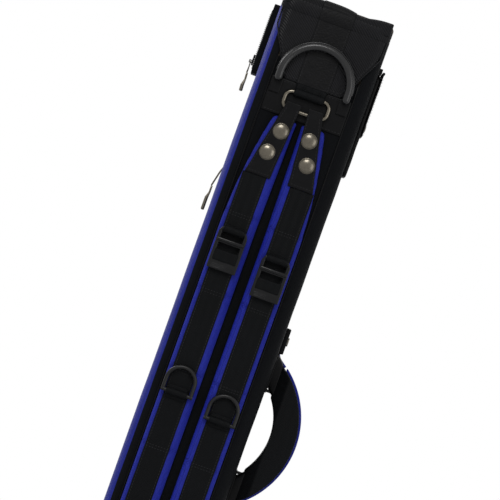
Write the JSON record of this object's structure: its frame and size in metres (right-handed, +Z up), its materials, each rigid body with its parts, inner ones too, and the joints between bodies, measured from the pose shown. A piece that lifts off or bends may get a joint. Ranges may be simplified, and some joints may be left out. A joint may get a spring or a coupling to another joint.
{
  "type": "telescope carry case",
  "caption": "Slim upright padded carry case with a hinged leather hood, back straps on a ring, top and side handles, zip pockets and a snap pouch.",
  "frame": {"origin": "centre of the flat base that the case stands on", "axes": "+Z up the case to the hood, -Y the strap side, +Y the pocket side, +X the side-handle side"},
  "size_m": [0.1775, 0.1274, 0.85],
  "materials": {
    "case_board": "matt black board",
    "lining": "short-pile lining cloth",
    "foam": "closed-cell foam faced with cloth",
    "black_cloth": "matt heavy woven cloth",
    "blue_cloth": "soft blue fine-mesh cloth",
    "hood_leather": "coated leather with a fine twill relief",
    "grained_leather": "pebble-grained leather",
    "smooth_leather": "smooth semi-gloss leather",
    "webbing": "ribbed black webbing",
    "nickel": "polished nickel plate",
    "black_metal": "black lacquered wire",
    "black_plastic": "satin moulded plastic",
    "boot_plastic": "moulded rubbery plastic"
  },
  "bodies": {
    "root": {"core_shell": "case_board", "liner": "lining", "bottom_foam_pad": "foam", "base_plate": "boot_plastic", "base_boot": "boot_plastic", "mouth_binding": "smooth_leather", "rear_panel": "black_cloth", "rear_corner_strip": "black_cloth", "left_side_panel": "blue_cloth", "right_side_panel": "black_cloth", "front_panel": "black_cloth", "rear_pipings": "smooth_leather", "hood_back": "hood_leather", "hood_back_strip": "grained_leather", "yoke_band": "smooth_leather", "strap_ring": "nickel", "ring_loop": "webbing", "strap_tab_left": "smooth_leather", "strap_tab_right": "smooth_leather", "strap_pad_left": "blue_cloth", "strap_pad_right": "blue_cloth", "strap_webbing_left": "webbing", "strap_webbing_right": "webbing", "strap_anchors": "smooth_leather", "strap_rivets": "nickel", "buckle_eyes": "webbing", "dee_keepers": "webbing", "top_handle_tabs": "smooth_leather", "side_handle_pins": "black_metal", "side_handle_stays": "smooth_leather", "side_handle_rivets": "nickel", "side_pouch": "grained_leather", "pouch_hinge_strip": "grained_leather", "side_pocket": "black_cloth", "side_pocket_zip": "webbing", "front_pocket": "black_cloth", "front_pocket_zip": "webbing"},
    "hood": {"lid_board": "case_board", "lid_foam_pad": "foam", "hood_cover": "hood_leather", "hood_tongue": "grained_leather", "catch_magnet": "nickel"},
    "top_handle": {"top_handle": "smooth_leather"},
    "side_handle": {"side_handle": "webbing", "side_handle_welt": "blue_cloth"},
    "buckle_left": {"buckle_left": "black_plastic"},
    "buckle_right": {"buckle_right": "black_plastic"},
    "dee_left": {"dee_ring_left": "black_metal"},
    "dee_right": {"dee_ring_right": "black_metal"},
    "pouch_flap": {"pouch_flap": "grained_leather", "pouch_snap": "nickel"},
    "side_slider": {"side_zip_slider": "black_metal"},
    "side_link": {"side_zip_link": "nickel"},
    "side_tab": {"side_zip_tab": "nickel"},
    "front_slider": {"front_zip_slider": "black_metal"},
    "front_link": {"front_zip_link": "nickel"},
    "front_tab": {"front_zip_tab": "nickel"}
  },
  "joints": [
    {"name": "hood_hinge", "type": "hinge", "parent": "root", "child": "hood", "pos_m": [0, -0.047, 0.836], "axis": [1, 0, 0], "range_deg": [0, 100]},
    {"name": "top_handle_swing", "type": "hinge", "parent": "root", "child": "top_handle", "pos_m": [0, -0.0529, 0.762], "axis": [1, 0, 0], "range_deg": [0, 75]},
    {"name": "side_handle_swing", "type": "hinge", "parent": "root", "child": "side_handle", "pos_m": [0.06415, 0, 0.416], "axis": [0, 0, 1], "range_deg": [-55, 55]},
    {"name": "buckle_left_tilt", "type": "hinge", "parent": "root", "child": "buckle_left", "pos_m": [-0.025, -0.0592, 0.601], "axis": [-1, 0, 0], "range_deg": [0, 35]},
    {"name": "buckle_right_tilt", "type": "hinge", "parent": "root", "child": "buckle_right", "pos_m": [0.025, -0.0592, 0.588], "axis": [-1, 0, 0], "range_deg": [0, 35]},
    {"name": "dee_left_swing", "type": "hinge", "parent": "root", "child": "dee_left", "pos_m": [-0.025, -0.0587, 0.43], "axis": [1, 0, 0], "range_deg": [0, 150]},
    {"name": "dee_right_swing", "type": "hinge", "parent": "root", "child": "dee_right", "pos_m": [0.025, -0.0587, 0.417], "axis": [1, 0, 0], "range_deg": [0, 150]},
    {"name": "pouch_flap_lift", "type": "hinge", "parent": "root", "child": "pouch_flap", "pos_m": [0.0632, 0, 0.8016], "axis": [0, -1, 0], "range_deg": [0, 150]},
    {"name": "side_zip_run", "type": "slide", "parent": "root", "child": "side_slider", "axis": [0, 0, 1], "range_m": [0, 0.047]},
    {"name": "side_link_swing", "type": "hinge", "parent": "side_slider", "child": "side_link", "pos_m": [-0.0683, 0, 0.77], "axis": [0, 1, 0], "range_deg": [0, 110]},
    {"name": "side_tab_swing", "type": "hinge", "parent": "side_link", "child": "side_tab", "pos_m": [-0.0677, 0, 0.75857], "axis": [0, 1, 0], "range_deg": [-8, 60]},
    {"name": "front_zip_run", "type": "slide", "parent": "root", "child": "front_slider", "axis": [0, 0, 1], "range_m": [-0.56, 0]},
    {"name": "front_link_swing", "type": "hinge", "parent": "front_slider", "child": "front_link", "pos_m": [-0.0573, 0.0545, 0.667], "axis": [0, 1, 0], "range_deg": [-5, 95]},
    {"name": "front_tab_swing", "type": "hinge", "parent": "front_link", "child": "front_tab", "pos_m": [-0.0637, 0.0545, 0.63928], "axis": [0, 1, 0], "range_deg": [-3, 60]}
  ]
}
